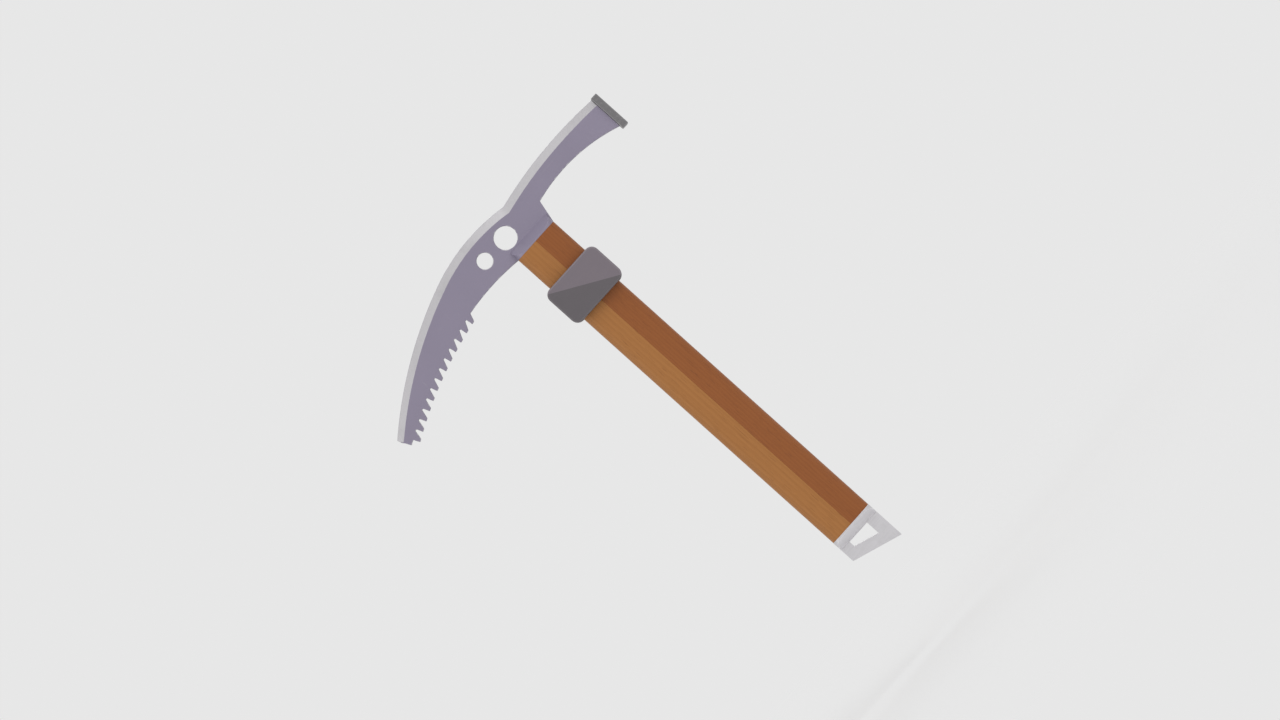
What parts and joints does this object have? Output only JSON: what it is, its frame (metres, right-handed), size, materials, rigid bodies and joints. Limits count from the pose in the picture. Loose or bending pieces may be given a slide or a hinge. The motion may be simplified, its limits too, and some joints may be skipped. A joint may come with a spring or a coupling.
{
  "type": "ice axe",
  "caption": "Short ice axe with a toothed drooping pick, a capped hammer arm, a two-tone wooden shaft, a sliding hand stop and a slotted spike.",
  "frame": {"origin": "centre of the carabiner eye, in the middle of the head plate's thickness", "axes": "+Z along the shaft towards the head, -X towards the pick's tip, +X towards the hammer face, Y across the head plate"},
  "size_m": [0.2841, 0.043, 0.3803],
  "materials": {
    "head_forging": "satin lavender-grey coating, bevels ground bare",
    "hammer_cap": "dark hardened steel, struck face",
    "cap_rivets": "ground flush",
    "socket_washer": "plain",
    "tang_pins": "turned",
    "hammer_side_stave": "reddish brown, oiled",
    "pick_side_stave": "golden brown, oiled",
    "stave_key": "planed",
    "ferrule": "satin",
    "ferrule_pins": "ground flush",
    "ferrule_washer": "plain",
    "spike": "light ground steel",
    "spike_pins": "turned",
    "collar_head_shell": "fine moulded texture, light grey",
    "collar_spike_shell": "fine moulded texture, dark grey",
    "collar_screws": "plated",
    "collar_inserts": "turned",
    "friction_pads": "smooth side to the shaft",
    "pad_springs": "spring steel",
    "collar_wipers": "black"
  },
  "bodies": {
    "axe": {"head_forging": "head_forging", "hammer_cap": "hammer_cap", "cap_rivets": "cap_rivets", "socket_washer": "socket_washer", "tang_pins": "tang_pins", "hammer_side_stave": "hammer_side_stave", "pick_side_stave": "pick_side_stave", "stave_key": "stave_key", "ferrule": "ferrule", "ferrule_pins": "ferrule_pins", "ferrule_washer": "ferrule_washer", "spike": "spike", "spike_pins": "spike_pins"},
    "hand_stop": {"collar_head_shell": "collar_head_shell", "collar_spike_shell": "collar_spike_shell", "collar_screws": "collar_screws", "collar_inserts": "collar_inserts", "friction_pads": "friction_pads", "pad_springs": "pad_springs", "collar_wipers": "collar_wipers"}
  },
  "joints": [
    {"name": "hand_stop_slide", "type": "slide", "parent": "axe", "child": "hand_stop", "axis": [0, 0, 1], "range_m": [-0.2425, 0.0305]}
  ]
}
